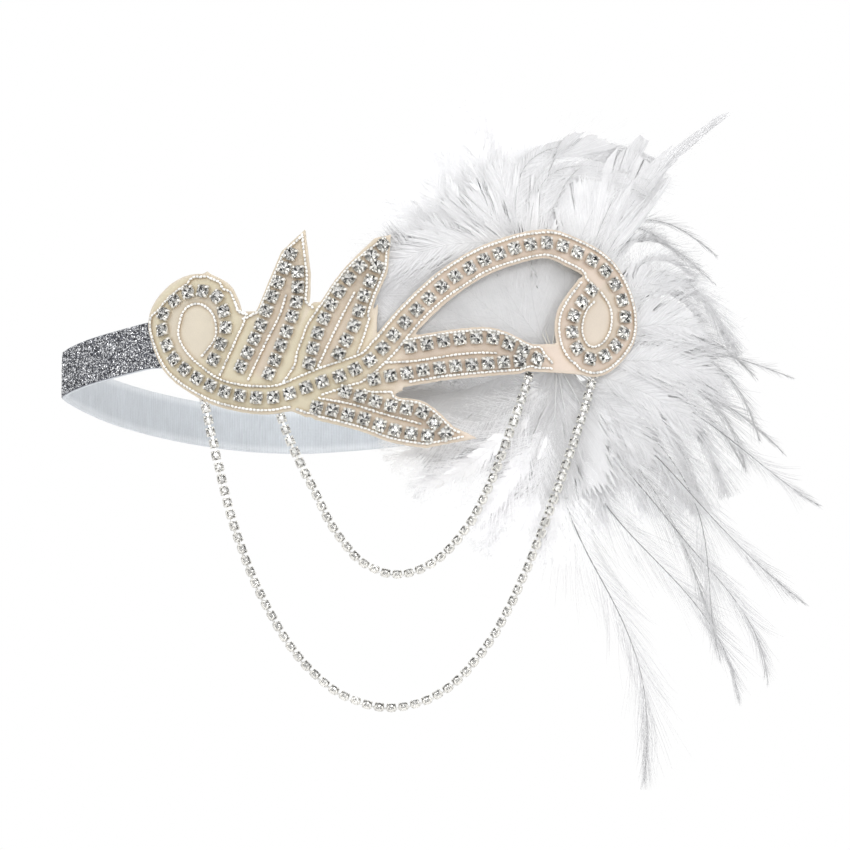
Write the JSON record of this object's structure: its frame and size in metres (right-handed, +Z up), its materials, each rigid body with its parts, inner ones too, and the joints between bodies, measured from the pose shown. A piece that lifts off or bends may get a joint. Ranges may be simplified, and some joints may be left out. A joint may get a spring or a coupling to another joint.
{
  "type": "flapper feather headband",
  "caption": "Elastic band headpiece with a jewelled felt applique at the front, two swags of stone chain below it and a plume of feathers behind one side.",
  "frame": {"origin": "middle of the band's loop, at half the band's height, where the head sits", "axes": "+Z up along the head, the front faces -Y, +X to the viewer's right, which is the side of the plume"},
  "size_m": [0.241, 0.165, 0.2169],
  "materials": {
    "glitter_elastic": "silver glitter outside, plain woven elastic inside",
    "felt": "cream satin over felt, edged with rows of clear seed beads",
    "set_stones": "clear faceted stones in bright silver claw cups",
    "cup_chain": "small clear faceted stones in linked silver cups",
    "feather": "soft white feathers"
  },
  "bodies": {
    "root": {"elastic_band": "glitter_elastic", "applique_backing": "felt", "ribbon_stones": "set_stones", "leaf_stones_1": "set_stones", "leaf_stones_2": "set_stones", "leaf_stones_3": "set_stones", "leaf_stones_4": "set_stones", "outer_chain": "cup_chain", "inner_chain": "cup_chain", "feather_plume": "feather"}
  },
  "joints": []
}
